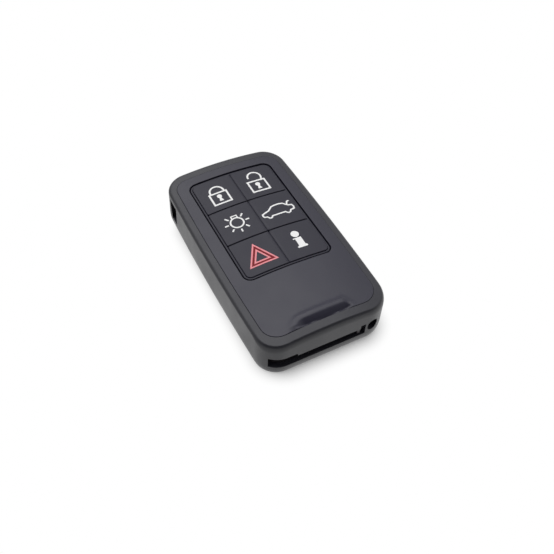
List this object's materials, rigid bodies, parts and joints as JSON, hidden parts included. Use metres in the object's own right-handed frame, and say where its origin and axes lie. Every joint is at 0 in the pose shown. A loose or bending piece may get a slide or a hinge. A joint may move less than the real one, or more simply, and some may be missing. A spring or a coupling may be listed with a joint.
{
  "type": "car key fob",
  "caption": "Crowned charcoal car key fob with lock, unlock, light, tailgate, panic and info buttons, an end slot for an emergency key and a corner eyelet for a key ring.",
  "frame": {"origin": "middle of the back face, which lies on the table", "axes": "+X to the right, +Y to the end with the lock buttons, +Z out of the button face"},
  "size_m": [0.0434, 0.077, 0.0145],
  "materials": {
    "casing_plastic": "satin charcoal ABS, fine spark-eroded grain",
    "panel_plastic": "satin charcoal ABS with a faint blue cast",
    "button_rubber": "soft-touch lacquered silicone",
    "inner_plastic": "plain black moulded nylon",
    "board_laminate": "green solder mask over glass epoxy",
    "chip_resin": "moulded epoxy",
    "chip_ceramic": "fired ceramic with tinned ends",
    "ferrite": "sintered ferrite, dull",
    "copper_wire": "enamelled copper wire",
    "cell_steel": "nickel-plated steel, fine turned grain",
    "spring_steel": "bright spring steel",
    "contact_bronze": "rolled phosphor bronze sheet",
    "tab_plastic": "white polyester film"
  },
  "bodies": {
    "fob": {"casing": "casing_plastic", "rear_cover": "casing_plastic", "front_panel": "panel_plastic", "keypad_mat": "button_rubber", "chassis": "inner_plastic", "circuit_board": "board_laminate", "snap_domes": "spring_steel", "microcontroller": "chip_resin", "radio_chip": "chip_resin", "crystal": "cell_steel", "chip_parts": "chip_ceramic", "receiving_aerial": "chip_resin", "ferrite_rod": "ferrite", "transponder_winding": "copper_wire", "cell_lower": "cell_steel", "cell_upper": "cell_steel", "cell_tab": "tab_plastic", "contact_lower": "contact_bronze", "contact_upper": "contact_bronze", "contact_side": "contact_bronze", "catch_spring": "spring_steel"},
    "lock_button": {"lock_button": "button_rubber"},
    "unlock_button": {"unlock_button": "button_rubber"},
    "light_button": {"light_button": "button_rubber"},
    "tailgate_button": {"tailgate_button": "button_rubber"},
    "panic_button": {"panic_button": "button_rubber"},
    "info_button": {"info_button": "button_rubber"},
    "key_catch": {"key_catch": "inner_plastic"}
  },
  "joints": [
    {"name": "lock_press", "type": "slide", "parent": "fob", "child": "lock_button", "axis": [0, 0, -1], "range_m": [0, 0.0004], "stiffness_N_per_m": 3000},
    {"name": "unlock_press", "type": "slide", "parent": "fob", "child": "unlock_button", "axis": [0, 0, -1], "range_m": [0, 0.0004], "stiffness_N_per_m": 3000},
    {"name": "light_press", "type": "slide", "parent": "fob", "child": "light_button", "axis": [0, 0, -1], "range_m": [0, 0.0004], "stiffness_N_per_m": 3000},
    {"name": "tailgate_press", "type": "slide", "parent": "fob", "child": "tailgate_button", "axis": [0, 0, -1], "range_m": [0, 0.0004], "stiffness_N_per_m": 3000},
    {"name": "panic_press", "type": "slide", "parent": "fob", "child": "panic_button", "axis": [0, 0, -1], "range_m": [0, 0.0004], "stiffness_N_per_m": 3000},
    {"name": "info_press", "type": "slide", "parent": "fob", "child": "info_button", "axis": [0, 0, -1], "range_m": [0, 0.0004], "stiffness_N_per_m": 3000},
    {"name": "catch_slide", "type": "slide", "parent": "fob", "child": "key_catch", "axis": [1, 0, 0], "range_m": [0, 0.0011], "stiffness_N_per_m": 400, "springref_m": -0.0015, "deforming": ["catch_spring"]}
  ]
}
